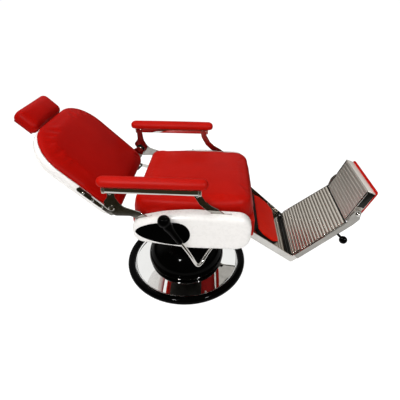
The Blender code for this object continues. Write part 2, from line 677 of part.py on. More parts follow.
def foot_bumper(word, side):
    """Black ball on a short stem under a foot rail."""
    radius, ball, seat = 0.020, -0.0846, -0.036 - GAP
    profile = [(0.0, seat), (0.006, seat), (0.006, ball + 0.019)]
    for step in range(1, 7):
        angle = math.radians(18 + 27 * step)
        profile.append((radius * math.sin(angle), ball + radius * math.cos(angle)))
    profile[-1] = (0.0, ball - radius)
    along = 0.250
    x = FOOT.world(along, 0.0)[0]
    y = side * (FOOT_RAIL_Y - SIDE_PLATE / 2 - FOOT_RAIL_LEAN * (x - KNEE[0]))
    matrix = FOOT.face_view() @ Matrix.Translation((along, 0.0, 0.0))
    matrix.translation.y = y
    turned(f"foot_bumper_{word}", profile, matrix, "black_rubber", 14)


def foot_flap():
    """Swinging end of the foot rest: ribbed tray with a padded back."""
    low, high, face, rear = -0.0606, 0.1206, 0.0255, -0.0145
    outline = ribbed(low, high, face, rear, RIB_PITCH, RIB_DEPTH)
    tray = side_plate("flap_tray", FLAP, [outline], -FLAP_HALF, FLAP_HALF, "ribbed_metal")
    hollow = box("flap_hollow", (low + 0.004, -FLAP_HALF + 0.004, rear - 0.01),
                 (high - 0.004, FLAP_HALF - 0.004, face - 0.0075), None, FLAP, CUTTERS)
    boolean(tray, hollow)
    drill(tray, *FLAP_AXIS, BOLT_RADIUS + RUNNING, -FLAP_HALF - 0.01,
          FLAP_HALF + 0.01)
    backing = rounded(symmetric([(low + 0.002, FLAP_HALF + 0.002, 0.010),
                                 (high + 0.010, FLAP_HALF + 0.004, 0.010)]), 3)
    pad("flap_pad", FLAP, backing, rear - 0.011, rear - GAP, "red_leather", 0.004)


# Connecting rod and levers ------------------------------------------------
def recline_rod():
    """Rod that couples the back's crank to the leg rest's crank."""
    rear = Vector((BACK_PIVOT[0], BACK_PIVOT[1] - CRANK))
    front = Vector((LEG_PIVOT[0], LEG_PIVOT[1] - CRANK))
    along = (front - rear).normalized()
    side = Vector((-along.y, along.x)) * 0.009
    corners = [rear - along * 0.010 + side, front + along * 0.010 + side,
               front + along * 0.010 - side, rear - along * 0.010 - side]
    outline = rounded([(*corner, 0.008) for corner in corners], 4)
    plane = Plane(rear.x, rear.y, 0.0)
    local = [point - rear for point in outline]
    side_plate("recline_rod", plane, [local], *ROD_Y, "chrome")
    joint = rod_across("rod_pin_rear", rear.x, rear.y, 0.2410, 0.2500, ROD_PIN_RADIUS,
                       collection=CUTTERS)
    boolean(bpy.data.objects["recline_rod"], joint, "UNION")


def lift_lever():
    """Cranked chrome lever with a tapered black grip, on the right."""
    x, z = LEVER_AXIS
    start, reach = Vector((0.020, -0.374, 0.465)), Vector((-0.048, -0.374, 0.582))
    bend = [(x, -0.262, z), (x - 0.006, -0.268, z - 0.004), (0.154, -0.290, 0.377),
            (0.131, -0.320, 0.352), (0.114, -0.348, 0.333), (0.104, -0.364, 0.328),
            (0.094, -0.372, 0.330), (0.084, -0.374, 0.340)]
    up = (reach - start).normalized()
    neck = start - up * 0.002
    rod = tube("lever_rod", [Vector(p) for p in bend] + [neck], 0.008, "chrome")
    shaft = rod_across("lever_shaft", x, z, -0.272, -0.150, 0.010, collection=CUTTERS)
    boolean(rod, shaft, "UNION")
    length = (reach - start).length
    ball = 0.028
    profile = []
    for step in range(7):
        angle = math.radians(20 * step)
        profile.append((ball * math.sin(angle), length + ball * math.cos(angle)))
    profile += [(0.0185, length * 0.62), (0.0150, length * 0.25), (0.0140, 0.004),
                (0.0120, 0.0), (0.0, 0.0)]
    turn = up.to_track_quat("Z", "Y").to_matrix().to_4x4()
    turned("lever_grip", profile, Matrix.Translation(start) @ turn, "black_gloss", 16)
    block = box("lever_bearing", (x - 0.020, -RAIL_OUTER, z - 0.016),
                (x + 0.020, -RAIL_INNER, RAIL_LOW - GAP), "dark_steel")
    drill(block, x, z, 0.010 + RUNNING, -0.23, -0.18)


def release_lever():
    """Small recline release on the left side."""
    x, z = RELEASE_AXIS
    start = SHELL_OUTER + 0.0045 + GAP
    path = [(x, start, z), (x, start + 0.007, z), (x + 0.003, start + 0.012, z + 0.005),
            (x + 0.028, start + 0.014, z + 0.042), (0.020, start + 0.015, 0.562)]
    tube("release_lever", [Vector(place) for place in path], 0.007, "black_gloss")


def build():
    base_disc()
    base_ring()
    pump_cover()
    pump_cylinder()
    lift_piston()
    swivel_housing()
    seat_frame()
    seat_upholstery()
    side_shells()
    arm_brackets()
    arm_rests()
    backrest()
    back_brackets()
    headrest()
    leg_rails()
    leg_panel()
    foot_plate()
    foot_rails()
    foot_flap()
    recline_rod()
    lift_lever()
    release_lever()


def new_collection(name):
    collection = bpy.data.collections.new(name)
    bpy.context.scene.collection.children.link(collection)
    return collection


def new_material(name, colour, roughness, metallic):
    material = bpy.data.materials.new(name)
    material.use_nodes = True
    shader = material.node_tree.nodes["Principled BSDF"]
    shader.inputs["Base Color"].default_value = (*colour, 1.0)
    shader.inputs["Roughness"].default_value = roughness
    shader.inputs["Metallic"].default_value = metallic
    material.diffuse_color = (*colour, 1.0)
    return material


for leftover in list(bpy.data.objects):
    bpy.data.objects.remove(leftover, do_unlink=True)

MATERIALS = {name: new_material(name, *values) for name, values in COLOURS.items()}
PARTS = new_collection("barber_chair")
CUTTERS = new_collection("cutters")

SEAT_PLANE = Plane(0.0, 0.0, 0.0)
BACK = Plane(*BACK_PIVOT, BACK_ANGLE, -90.0)
LEG = Plane(*LEG_PIVOT, LEG_ANGLE)
FOOT = Plane(*KNEE, FOOT_ANGLE)
FLAP = Plane(*FLAP_AXIS, FLAP_ANGLE)

build()
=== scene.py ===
import json
import math

import bmesh
import bpy
from mathutils import Matrix, Vector


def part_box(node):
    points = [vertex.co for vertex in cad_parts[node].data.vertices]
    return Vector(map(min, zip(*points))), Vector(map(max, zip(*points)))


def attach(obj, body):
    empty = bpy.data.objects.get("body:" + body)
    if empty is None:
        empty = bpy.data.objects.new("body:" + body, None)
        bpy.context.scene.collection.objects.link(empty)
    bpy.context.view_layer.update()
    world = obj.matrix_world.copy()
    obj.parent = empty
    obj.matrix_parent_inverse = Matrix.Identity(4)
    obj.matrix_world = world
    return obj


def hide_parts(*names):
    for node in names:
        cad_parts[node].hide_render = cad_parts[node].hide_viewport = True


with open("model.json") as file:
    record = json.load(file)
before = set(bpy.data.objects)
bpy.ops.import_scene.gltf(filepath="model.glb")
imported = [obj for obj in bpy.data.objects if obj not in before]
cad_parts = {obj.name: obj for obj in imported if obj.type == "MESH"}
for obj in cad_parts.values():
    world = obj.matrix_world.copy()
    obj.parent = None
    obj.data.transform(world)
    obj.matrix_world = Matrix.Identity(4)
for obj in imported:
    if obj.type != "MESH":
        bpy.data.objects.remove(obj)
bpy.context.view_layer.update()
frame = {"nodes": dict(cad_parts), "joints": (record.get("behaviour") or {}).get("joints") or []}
nodes = frame["nodes"]
scene = bpy.context.scene


# Frame measures -----------------------------------------------------------
def joint_point(name):
    return Vector(next(j["pos_m"] for j in frame["joints"] if j["name"] == name))


def span(node, axis):
    """Lowest and highest value of a node's box on one axis."""
    low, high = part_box(node)
    return low[axis], high[axis]


class Plane:
    """A tilted work plane: its own X along, Y across the chair, Z out."""

    def __init__(self, x, z, angle, out_turn=90.0):
        turn, out = math.radians(angle), math.radians(angle + out_turn)
        self.origin = Vector((x, 0.0, z))
        self.along = Vector((math.cos(turn), 0.0, math.sin(turn)))
        self.out = Vector((math.cos(out), 0.0, math.sin(out)))
        self.across = self.out.cross(self.along)
        turned = Matrix((self.along, self.across, self.out)).transposed().to_4x4()
        self.matrix = Matrix.Translation(self.origin) @ turned

    def local(self, point):
        offset = Vector(point) - self.origin
        return Vector((offset.dot(self.along), offset.dot(self.across), offset.dot(self.out)))

    def node_box(self, node):
        """A node's lowest and highest corner in the plane's own axes."""
        places = [self.local(v.co) for v in nodes[node].data.vertices]
        return (Vector([min(p[i] for p in places) for i in range(3)]),
                Vector([max(p[i] for p in places) for i in range(3)]))


SIDES = (("right", -1), ("left", 1))
back_pivot = joint_point("back_recline")
leg_pivot = joint_point("legrest_swing")
flap_pivot = joint_point("foot_flap_turn")
# Work planes: x and z of the origin, tilt in degrees
FLOOR = Plane(0.0, 0.0, 0.0)
BACK = Plane(back_pivot.x, back_pivot.z, 135.5, -90.0)
LEG = Plane(leg_pivot.x, leg_pivot.z, -39.6)
FOOT = Plane(0.565, 0.240, 43.8)
FLAP = Plane(flap_pivot.x, flap_pivot.z, 69.7)
FLOOR_WHITE = 0.97           # reach to each side that reads white in the chrome
CREASE = math.radians(38)    # CAD edges sharper than this stay sharp
RIB_PITCH = 0.0175


# Materials ----------------------------------------------------------------
class Nodes:
    """Short forms for building a material's node tree."""

    def __init__(self, name):
        self.material = bpy.data.materials.new(name)
        self.material.use_nodes = True
        self.tree = self.material.node_tree
        self.shader = self.tree.nodes["Principled BSDF"]
        self.place = self.add("ShaderNodeTexCoord").outputs["Object"]

    def add(self, kind, **values):
        node = self.tree.nodes.new(kind)
        for key, value in values.items():
            if hasattr(node, key):
                setattr(node, key, value)
            else:
                node.inputs[key.replace("_", " ")].default_value = value
        return node

    def link(self, start, end):
        self.tree.links.new(start, end)

    def set(self, **values):
        for key, value in values.items():
            self.shader.inputs[key.replace("_", " ")].default_value = value

    def stretched(self, scale):
        mapping = self.add("ShaderNodeMapping")
        mapping.inputs["Scale"].default_value = scale
        self.link(self.place, mapping.inputs["Vector"])
        return mapping.outputs["Vector"]

    def noise(self, scale, detail=3.0, roughness=0.5, place=None):
        node = self.add("ShaderNodeTexNoise", Scale=scale, Detail=detail, Roughness=roughness)
        self.link(place or self.place, node.inputs["Vector"])
        return node.outputs["Fac"]

    def cells(self, scale):
        """Distance to the nearest border of irregular cells."""
        node = self.add("ShaderNodeTexVoronoi", feature="DISTANCE_TO_EDGE", Scale=scale)
        self.link(self.place, node.inputs["Vector"])
        return node.outputs["Distance"]

    def ranged(self, value, low, high, from_low=0.0, from_high=1.0):
        node = self.add("ShaderNodeMapRange")
        for key, number in (("From Min", from_low), ("From Max", from_high),
                            ("To Min", low), ("To Max", high)):
            node.inputs[key].default_value = number
        self.link(value, node.inputs["Value"])
        return node.outputs["Result"]

    def ramp(self, value, *stops):
        node = self.add("ShaderNodeValToRGB")
        ends = node.color_ramp.elements
        while len(ends) < len(stops):
            ends.new(0.5)
        for end, (place, colour) in zip(ends, stops):
            end.position = place
            end.color = (*colour, 1.0)
        self.link(value, node.inputs["Fac"])
        return node.outputs["Color"]

    def mix(self, share, one, two):
        node = self.add("ShaderNodeMix", data_type="RGBA")
        for socket, value in ((node.inputs[0], share), (node.inputs[6], one),
                              (node.inputs[7], two)):
            if isinstance(value, bpy.types.NodeSocket):
                self.link(value, socket)
            elif isinstance(value, tuple):
                socket.default_value = (*value, 1.0)
            else:
                socket.default_value = value
        return node.outputs[2]

    def worn(self):
        """High along sharp outward edges."""
        flat, edge = 0.52, 0.60
        pointed = self.add("ShaderNodeNewGeometry").outputs["Pointiness"]
        return self.ranged(pointed, 0.0, 1.0, flat, edge)

    def bump(self, height, strength, distance, under=None):
        node = self.add("ShaderNodeBump", Strength=strength, Distance=distance)
        self.link(height, node.inputs["Height"])
        if under:
            self.link(under, node.inputs["Normal"])
        return node.outputs["Normal"]

    def colour(self, socket):
        self.link(socket, self.shader.inputs["Base Color"])

    def rough(self, socket):
        self.link(socket, self.shader.inputs["Roughness"])

    def normal(self, socket):
        self.link(socket, self.shader.inputs["Normal"])


def leather(name, deep, bright, worn_colour, gloss=0.06):
    """Upholstery leather: pebbled grain, slow colour drift, rubbed edges."""
    n = Nodes(name)
    drift = n.noise(5.0, 4.0, 0.6)
    colour = n.ramp(drift, (0.30, deep), (0.72, bright))
    colour = n.mix(n.ranged(n.worn(), 0.0, 0.35), colour, worn_colour)
    n.colour(colour)
    n.rough(n.ranged(n.noise(38.0, 4.0, 0.6), 0.34, 0.50))
    grain = n.cells(520.0)
    soft = n.bump(n.noise(26.0, 3.0), 0.10, 0.0025)
    n.normal(n.bump(n.ranged(grain, 0.0, 1.0, 0.0, 0.35), 0.16, 0.0004, soft))
    n.set(Specular_IOR_Level=gloss)
    return n.material


def plastic(name, low, high, rough, specular, coat, ripple=0.03):
    """Moulded gloss plastic or enamel with a faint ripple and fine dust."""
    n = Nodes(name)
    n.colour(n.ramp(n.noise(9.0, 3.0), (0.35, low), (0.70, high)))
    n.rough(n.ranged(n.noise(60.0, 5.0, 0.7), rough, rough + 0.07))
    n.normal(n.bump(n.noise(34.0, 2.0), ripple, 0.0006))
    n.set(Coat_Weight=coat, Coat_Roughness=0.04, Specular_IOR_Level=specular)
    return n.material


def metal(name, low, high, rough_low, rough_high, scale=(1.0, 1.0, 1.0), brushed=0.0):
    """Plated or brushed metal: smudged roughness, brighter rubbed edges."""
    n = Nodes(name)
    place = n.stretched(scale)
    colour = n.ramp(n.noise(14.0, 4.0, 0.6, place), (0.30, low), (0.70, high))
    edge = tuple(min(c * 1.15, 0.95) for c in high)
    n.colour(n.mix(n.ranged(n.worn(), 0.0, 0.5), colour, edge))
    n.rough(n.ranged(n.noise(46.0, 5.0, 0.7, place), rough_low, rough_high))
    if brushed:
        n.normal(n.bump(n.noise(240.0, 2.0, 0.6, place), brushed, 0.0003))
    else:
        n.normal(n.bump(n.noise(22.0, 2.0), 0.010, 0.0010))
    n.set(Metallic=1.0)
    return n.material


def rubber(name):
    n = Nodes(name)
    n.colour(n.ramp(n.noise(30.0), (0.3, (0.003, 0.003, 0.003)), (0.7, (0.007, 0.007, 0.006))))
    n.rough(n.ranged(n.noise(70.0, 4.0), 0.35, 0.55))
    n.normal(n.bump(n.noise(300.0, 2.0), 0.05, 0.0003))
    n.set(Specular_IOR_Level=0.15)
    return n.material


def wood(name):
    n = Nodes(name)
    rings = n.add("ShaderNodeTexWave", Scale=14.0, Distortion=6.0, Detail=3.0)
    n.link(n.stretched((0.4, 1.0, 3.0)), rings.inputs["Vector"])
    n.colour(n.ramp(rings.outputs["Fac"], (0.2, (0.42, 0.27, 0.14)), (0.8, (0.60, 0.43, 0.25))))
    n.rough(n.ranged(n.noise(50.0), 0.55, 0.75))
    n.normal(n.bump(rings.outputs["Fac"], 0.08, 0.0006))
    return n.material


RED = leather("red_leather", (0.370, 0.0028, 0.0004), (0.450, 0.0050, 0.0008),
              (0.50, 0.014, 0.004))
# Darker copy of the red leather for the back and headrest: painted shade, standing in for the less
# light they get.
BACK_RED_PAINTED_SHADE = leather("back_leather_painted_shade", (0.285, 0.0016, 0.0004), (0.345, 0.0028, 0.0008),
                   (0.40, 0.008, 0.003), 0.035)
# Brighter copy of the red leather for the calf pad: painted light, standing in for light the pad
# does not get.
CALF_RED_PAINTED_LIGHT = leather("calf_leather_painted_light", (0.62, 0.008, 0.001), (0.74, 0.014, 0.002),
                   (0.80, 0.030, 0.010))
LINING = leather("red_lining", (0.200, 0.004, 0.003), (0.260, 0.006, 0.004),
                 (0.30, 0.01, 0.01))
WHITE = plastic("white_shell", (0.865, 0.838, 0.808), (0.885, 0.860, 0.830), 0.24, 0.4, 0.2,
                0.01)
BLACK = plastic("black_gloss", (0.0006, 0.0006, 0.0006), (0.0014, 0.0013, 0.0012), 0.04,
                0.035, 0.0, 0.01)
INSET = plastic("black_inset", (0.0004, 0.0004, 0.0004), (0.0010, 0.0010, 0.0009), 0.30,
                0.005, 0.0, 0.01)
RUBBER = rubber("black_rubber")
CHROME = metal("chrome", (0.66, 0.64, 0.61), (0.80, 0.78, 0.75), 0.04, 0.11)
BRACKET = metal("bracket_chrome", (0.34, 0.33, 0.31), (0.50, 0.48, 0.45), 0.05, 0.12)
DISC = metal("disc_chrome", (0.96, 0.96, 0.95), (0.99, 0.99, 0.98), 0.02, 0.04)
SATIN = metal("ribbed_metal", (0.62, 0.57, 0.50), (0.74, 0.69, 0.62), 0.20, 0.32,
              (1.0, 0.12, 1.0), 0.02)
PLATE = metal("brushed_plate", (0.74, 0.70, 0.64), (0.84, 0.80, 0.75), 0.42, 0.55,
              (1.0, 0.12, 1.0), 0.02)
GROOVE = metal("rib_grooves", (0.16, 0.14, 0.12), (0.24, 0.21, 0.18), 0.35, 0.50)
STEEL = metal("dark_steel", (0.020, 0.019, 0.017), (0.045, 0.043, 0.039), 0.30, 0.45)
WOOD = wood("plywood")


# Mesh tools ---------------------------------------------------------------
def new_object(name, mesh, matrix=None):
    obj = bpy.data.objects.new(name, mesh)
    scene.collection.objects.link(obj)
    obj.matrix_world = matrix or Matrix()
    return obj


def from_faces(name, points, faces, matrix=None, sharp=40.0):
    mesh = bpy.data.meshes.new(name)
    mesh.from_pydata([tuple(p) for p in points], [], faces)
    shape = bmesh.new()
    shape.from_mesh(mesh)
    bmesh.ops.recalc_face_normals(shape, faces=shape.faces)
    shape.to_mesh(mesh)
    shape.free()
    mesh.shade_smooth()
    mesh.set_sharp_from_angle(angle=math.radians(sharp))
    return new_object(name, mesh, matrix)


def placed(obj, body, slot, material, *stands_for):
    """Give a finished piece its material and body, and hide the CAD nodes it stands for; the slot
    is not used.
    """
    obj.data.materials.clear()
    obj.data.materials.append(material)
    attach(obj, body)
    if stands_for:
        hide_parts(*stands_for)


def rounded(corners, steps=8):
    """Closed outline from corners (x, y, radius)."""
    points = []
    for index, (x, y, radius) in enumerate(corners):
        here = Vector((x, y))
        back = (Vector(corners[index - 1][:2]) - here).normalized()
        ahead = (Vector(corners[(index + 1) % len(corners)][:2]) - here).normalized()
        half = back.angle(ahead) / 2
        centre = here + (back + ahead).normalized() * radius / math.sin(half)
        start = here + back * radius / math.tan(half) - centre
        end = here + ahead * radius / math.tan(half) - centre
        first = math.atan2(start.y, start.x)
        sweep = math.remainder(math.atan2(end.y, end.x) - first, math.tau)
        for step in range(steps + 1):
            angle = first + sweep * step / steps
            points.append(centre + Vector((math.cos(angle), math.sin(angle))) * radius)
    return points


def symmetric(corners):
    return [(x, -y, r) for x, y, r in corners] + list(reversed(corners))


def even(outline, count):
    """The same closed outline with evenly spaced points."""
    lengths = [0.0]
    for one, two in zip(outline, outline[1:] + outline[:1]):
        lengths.append(lengths[-1] + (two - one).length)
    points, index = [], 0
    for step in range(count):
        at = lengths[-1] * step / count
        while lengths[index + 1] < at:
            index += 1
        one, two = outline[index], outline[(index + 1) % len(outline)]
        share = (at - lengths[index]) / max(lengths[index + 1] - lengths[index], 1e-9)
        points.append(one.lerp(two, share))
    return points


def inward(outline):
    """Unit vectors that point into a closed outline, one per point."""
    area = sum(a.x * b.y - b.x * a.y for a, b in zip(outline, outline[1:] + outline[:1]))
    turn = 1.0 if area > 0 else -1.0
    vectors = []
    for index in range(len(outline)):
        along = (outline[(index + 1) % len(outline)] - outline[index - 1]).normalized()
        vectors.append(Vector((-along.y, along.x)) * turn)
    return vectors


def stacked(name, outline, rings, place, sharp=40.0, rise=0.0, above=0.0):
    """A closed form from rings (inset, scale, height) of one outline.

    What lies above a height is lifted by up to rise towards the middle.
    """
    centre = sum(outline, Vector((0.0, 0.0))) / len(outline)
    normals = inward(outline)
    reach = [max(abs(point[i] - centre[i]) for point in outline) for i in (0, 1)]
    count = len(outline)
    points, faces = [], []
    for inset, scale, height in rings:
        for point, normal in zip(outline, normals):
            spot = centre + (point + normal * inset - centre) * scale
            if rise and height > above:
                share = [1 - ((spot - centre)[i] / reach[i]) ** 2 for i in (0, 1)]
                lift = rise * max(share[0], 0.0) ** 1.5 * max(share[1], 0.0) ** 1.5
                points.append(place(spot.x, spot.y, height + lift))
            else:
                points.append(place(spot.x, spot.y, height))
    for ring in range(len(rings) - 1):
        for index in range(count):
            one, two = ring * count + index, ring * count + (index + 1) % count
            faces.append((one, two, two + count, one + count))
    for ring in (0, len(rings) - 1):
        height = rings[ring][2]
        points.append(place(centre.x, centre.y, height + (rise if height > above else 0.0)))
        for index in range(count):
            faces.append((ring * count + index, ring * count + (index + 1) % count,
                          len(points) - 1))
    return from_faces(name, points, faces, None, sharp)


def on(plane):
    """Places points given along, across and out of a plane."""
    return lambda u, v, h: plane.matrix @ Vector((u, v, h))


def beside(side):
    """Places points given in side view and by distance from the middle."""
    return lambda u, v, h: Vector((u, side * h, v))


def crowned(low, rim, shoulder, reach, half, deepest, foot=0.006, tall=None):
    """Rings of a padded form: rolled foot, side, rolled edge and flat top."""
    tall = tall or foot * 1.4
    rings = []
    for step in range(6):
        turn = math.pi / 2 * step / 5
        rings.append((foot * (1 - math.sin(turn)), 1.0, low + tall * (1 - math.cos(turn))))
    if rim > low + tall * 1.05:
        rings.append((0.0, 1.0, rim))
    scale = 1.0
    for step in range(1, 13):
        turn = math.pi / 2 * step / 12
        distance = reach * (1 - math.cos(turn))
        inset = min(distance, deepest)
        scale = 1.0 - (distance - inset) / half
        rings.append((inset, scale, rim + (shoulder - rim) * math.sin(turn)))
    for step in range(1, 12):
        rings.append((min(reach, deepest), scale * (1 - step / 11.6), shoulder))
    return rings


def turned(name, profile, matrix=None, steps=96, closed=False, sharp=35.0):
    """A profile (radius, height) turned about Z."""
    points, faces, rings = [], [], []
    for radius, height in profile:
        if radius < 1e-6:
            rings.append([len(points)] * steps)
            points.append((0.0, 0.0, height))
            continue
        rings.append(list(range(len(points), len(points) + steps)))
        for step in range(steps):
            angle = math.tau * step / steps
            points.append((radius * math.cos(angle), radius * math.sin(angle), height))
    pairs = list(zip(rings, rings[1:])) + ([(rings[-1], rings[0])] if closed else [])
    for one, two in pairs:
        for step in range(steps):
            ahead = (step + 1) % steps
            corners = [one[step], one[ahead], two[ahead], two[step]]
            kept = [c for i, c in enumerate(corners) if c not in corners[:i]]
            if len(kept) > 2:
                faces.append(kept)
    return from_faces(name, points, faces, matrix, sharp)


def arc(centre_r, centre_z, radius, first, last, steps=8, tall=None):
    """Points of an arc in a turned profile, angles in degrees."""
    places = []
    for step in range(steps + 1):
        angle = math.radians(first + (last - first) * step / steps)
        places.append((centre_r + radius * math.cos(angle),
                       centre_z + (tall or radius) * math.sin(angle)))
    return places


def swept(name, points, radius, sides=20):
    """A round bar that follows a line of points."""
    rings, faces, places = [], [], []
    side = (points[1] - points[0]).orthogonal().normalized()
    for index, point in enumerate(points):
        along = (points[min(index + 1, len(points) - 1)] - points[max(index - 1, 0)]).normalized()
        side = (side - along * side.dot(along)).normalized()
        other = along.cross(side)
        rings.append(range(len(places), len(places) + sides))
        for step in range(sides):
            angle = math.tau * step / sides
            places.append(point + (side * math.cos(angle) + other * math.sin(angle)) * radius)
    for one, two in zip(rings, rings[1:]):
        for step in range(sides):
            ahead = (step + 1) % sides
            faces.append((one[step], one[ahead], two[ahead], two[step]))
    faces.append(tuple(rings[0]))
    faces.append(tuple(rings[-1]))
    return from_faces(name, places, faces, None, 50.0)


def softened(path, rounds=2):
    """Corner-cutting of a line of points, ends kept."""
    points = [Vector(point) for point in path]
    for _ in range(rounds):
        cut = [points[0]]
        for one, two in zip(points, points[1:]):
            cut += [one.lerp(two, 0.25), one.lerp(two, 0.75)]
        points = cut + [points[-1]]
    return points


def refined(node, body, slot, material, bevel):
    """A CAD node's shape with welded faces and rounded edges."""
    mesh = nodes[node].data.copy()
    shape = bmesh.new()
    shape.from_mesh(mesh)
    bmesh.ops.remove_doubles(shape, verts=shape.verts, dist=0.00002)
    bmesh.ops.dissolve_limit(shape, angle_limit=math.radians(1.0), verts=shape.verts,
                             edges=shape.edges)
    bmesh.ops.recalc_face_normals(shape, faces=shape.faces)
    shape.to_mesh(mesh)
    shape.free()
    mesh.name = f"{node}_finish"
    mesh.shade_smooth()
    mesh.set_sharp_from_angle(angle=CREASE)
    obj = new_object(f"{node}_finish", mesh)
    edge = obj.modifiers.new("Edge", "BEVEL")
    edge.width, edge.segments = bevel, 3
    edge.limit_method, edge.angle_limit = "ANGLE", CREASE
    edge.use_clamp_overlap = True
    edge.harden_normals = True
    placed(obj, body, slot, material, node)


def across(x, y, z, side):
    """Matrix at a point whose Z looks out to one side of the chair."""
    return Matrix.Translation((x, y, z)) @ Matrix.Rotation(-side * math.pi / 2, 4, "X")


def screw(name, matrix, body, radius, material=CHROME):
    """Pan-head screw with a hexagonal recess."""
    height = radius * 0.62
    profile = [(0.0, -0.001), (radius, -0.001), (radius, height * 0.35)]
    profile += arc(radius * 0.62, height * 0.35, radius * 0.38, 0, 90, 5, height * 0.65)
    profile += [(radius * 0.42, height), (radius * 0.36, height * 0.9),
                (radius * 0.34, height * 0.25), (0.0, height * 0.2)]
    placed(turned(name, profile, matrix, 24), body, "chrome", material)


def block(name, low, high, place, body, slot, material, *stands_for, radius=0.0008):
    """A bar or sheet between two corners, with softened edges."""
    outline = rounded([(low[0], low[1], radius), (high[0], low[1], radius),
                       (high[0], high[1], radius), (low[0], high[1], radius)], 3)
    rings = [(radius, 1.0, low[2]), (radius * 0.3, 1.0, low[2] + radius * 0.3),
             (0.0, 1.0, low[2] + radius), (0.0, 1.0, high[2] - radius),
             (radius * 0.3, 1.0, high[2] - radius * 0.3), (radius, 1.0, high[2])]
    placed(stacked(name, outline, rings, place), body, slot, material, *stands_for)


def joined(name, objects):
    """Several meshes as one piece."""
    shape = bmesh.new()
    for obj in objects:
        obj.data.transform(obj.matrix_world)
        shape.from_mesh(obj.data)
        bpy.data.objects.remove(obj)
    mesh = bpy.data.meshes.new(name)
    shape.to_mesh(mesh)
    shape.free()
    mesh.shade_smooth()
    mesh.set_sharp_from_angle(angle=math.radians(40))
    return new_object(name, mesh)


def cut(obj, tool):
    """Cut a closed mesh out of a piece for good."""
    modifier = obj.modifiers.new("Cut", "BOOLEAN")
    modifier.operation, modifier.object, modifier.solver = "DIFFERENCE", tool, "EXACT"
    graph = bpy.context.evaluated_depsgraph_get()
    mesh = bpy.data.meshes.new_from_object(obj.evaluated_get(graph))
    obj.modifiers.clear()
    obj.data = mesh
    bpy.data.objects.remove(tool)
    mesh.shade_smooth()
    mesh.set_sharp_from_angle(angle=CREASE)


# Soft pieces --------------------------------------------------------------
def puffed(obj, cap, floor_height, voxel=0.006, pressure=4.0, frames=20):
    """Inflate a padded form as cloth, holding the side that rests on its base."""
    remesh = obj.modifiers.new("Remesh", "REMESH")
    remesh.mode, remesh.voxel_size = "VOXEL", voxel
    graph = bpy.context.evaluated_depsgraph_get()
    mesh = bpy.data.meshes.new_from_object(obj.evaluated_get(graph))
    obj.modifiers.clear()
    obj.data = mesh
    heights = [floor_height(v.co) for v in mesh.vertices]
    group = obj.vertex_groups.new(name="held")
    for index, height in enumerate(heights):
        if height < voxel * 1.2:
            group.add([index], 1.0, "REPLACE")
    cloth = obj.modifiers.new("Cloth", "CLOTH")
    cloth.settings.use_pressure = True
    cloth.settings.uniform_pressure_force = pressure
    cloth.settings.vertex_group_mass = "held"
    cloth.settings.effector_weights.gravity = 0.0
    cloth.settings.quality = 4
    cloth.settings.tension_stiffness = cloth.settings.compression_stiffness = 25.0
    cloth.settings.bending_stiffness = 4.0
    cloth.point_cache.frame_start, cloth.point_cache.frame_end = 1, frames
    before = [v.co.copy() for v in mesh.vertices]
    for number in range(1, frames + 1):
        scene.frame_set(number)
    graph = bpy.context.evaluated_depsgraph_get()
    after = [v.co.copy() for v in obj.evaluated_get(graph).data.vertices]
    obj.modifiers.clear()
    obj.vertex_groups.clear()
    for vertex, start, end, height in zip(mesh.vertices, before, after, heights):
        move = end - start
        if move.length > cap:
            move *= cap / move.length
        vertex.co = start + move * min(max((height - voxel) / 0.012, 0.0), 1.0)
    scene.frame_set(1)
    smooth = obj.modifiers.new("Even", "SMOOTH")
    smooth.factor, smooth.iterations = 0.5, 3
    finer = obj.modifiers.new("Finer", "SUBSURF")
    finer.levels = finer.render_levels = 1
    mesh.shade_smooth()


def cushion(name, plane, outline, rings, rise, count, body, node, fill, cap, skin=RED,
            **cloth):
    """A padded leather piece on a plane, puffed up and placed on its body."""
    low = rings[0][2]
    obj = stacked(name, even(outline, count), rings, on(plane), 180.0, rise, low + 0.010)
    puffed(obj, cap, lambda co: plane.local(co).z - low, **cloth)
    placed(obj, body, "red_leather", skin, node)


def seat_cushion():
    (x0, x1), (z0, z1) = span("seat_cushion", 0), span("seat_cushion", 2)
    half = span("seat_cushion", 1)[1]
    outline = rounded(symmetric([(x0, half - 0.008, 0.055), (x0 + 0.18, half + 0.010, 0.40),
                                 (x1 - 0.16, half + 0.011, 0.40), (x1, half - 0.010, 0.085)]),
                      14)
    rings = crowned(z0, z0 + 0.034, z1 + 0.002, 0.040, half, 0.038, 0.008, 0.016)
    brim = span("side_shell_left", 2)[1]
    bulge, below, spread = 0.007, 0.020, 0.036    # over the casing's brim
    rings = [(inset - bulge * min(max((height - brim + below) / spread, 0.0), 1.0), scale,
              height) for inset, scale, height in rings]
    cushion("seat_pad", FLOOR, outline, rings, 0.012, 220, "seat", "seat_cushion", 0.8, 0.006)


def seat_trim():
    """Padded strips that close the seat's front and rear below the cushion."""
    (x0, x1), (z0, _) = span("seat_cushion", 0), span("seat_cushion", 2)
    (board_start, board_end), half = span("seat_base", 0), span("seat_cushion", 1)[1]
    low = span("seat_base", 2)[0]
    place = lambda u, v, h: Vector((h, u, v))
    wide, rail = half - 0.006, span("leg_rail_left", 1)[1] + 0.002
    front = (board_end + 0.016, x1 + 0.006)
    block("seat_front_strip", (-wide, low, front[0]), (wide, z0 + 0.012, front[1]), place,
          "seat", "red_leather", RED, radius=0.007)
    for word, side in SIDES:
        ends = sorted((side * rail, side * wide))
        block(f"seat_front_end_{word}", (ends[0], low - 0.042, front[0]),
              (ends[1], low + 0.014, front[1]), place, "seat", "red_leather", RED, radius=0.007)
    block("seat_rear_strip", (-wide, low + 0.010, x0 - 0.001),
          (wide, z0 + 0.012, board_start - 0.004), place, "seat", "red_leather", RED,
          radius=0.007)


def back_outline(node):
    """Outline of a part of the back, with wider corners at the top."""
    foot_radius, top_radius = 0.070, 0.170
    low, high = BACK.node_box(node)
    return rounded(symmetric([(low.x, high.y, foot_radius), (high.x, high.y, top_radius)]), 12)


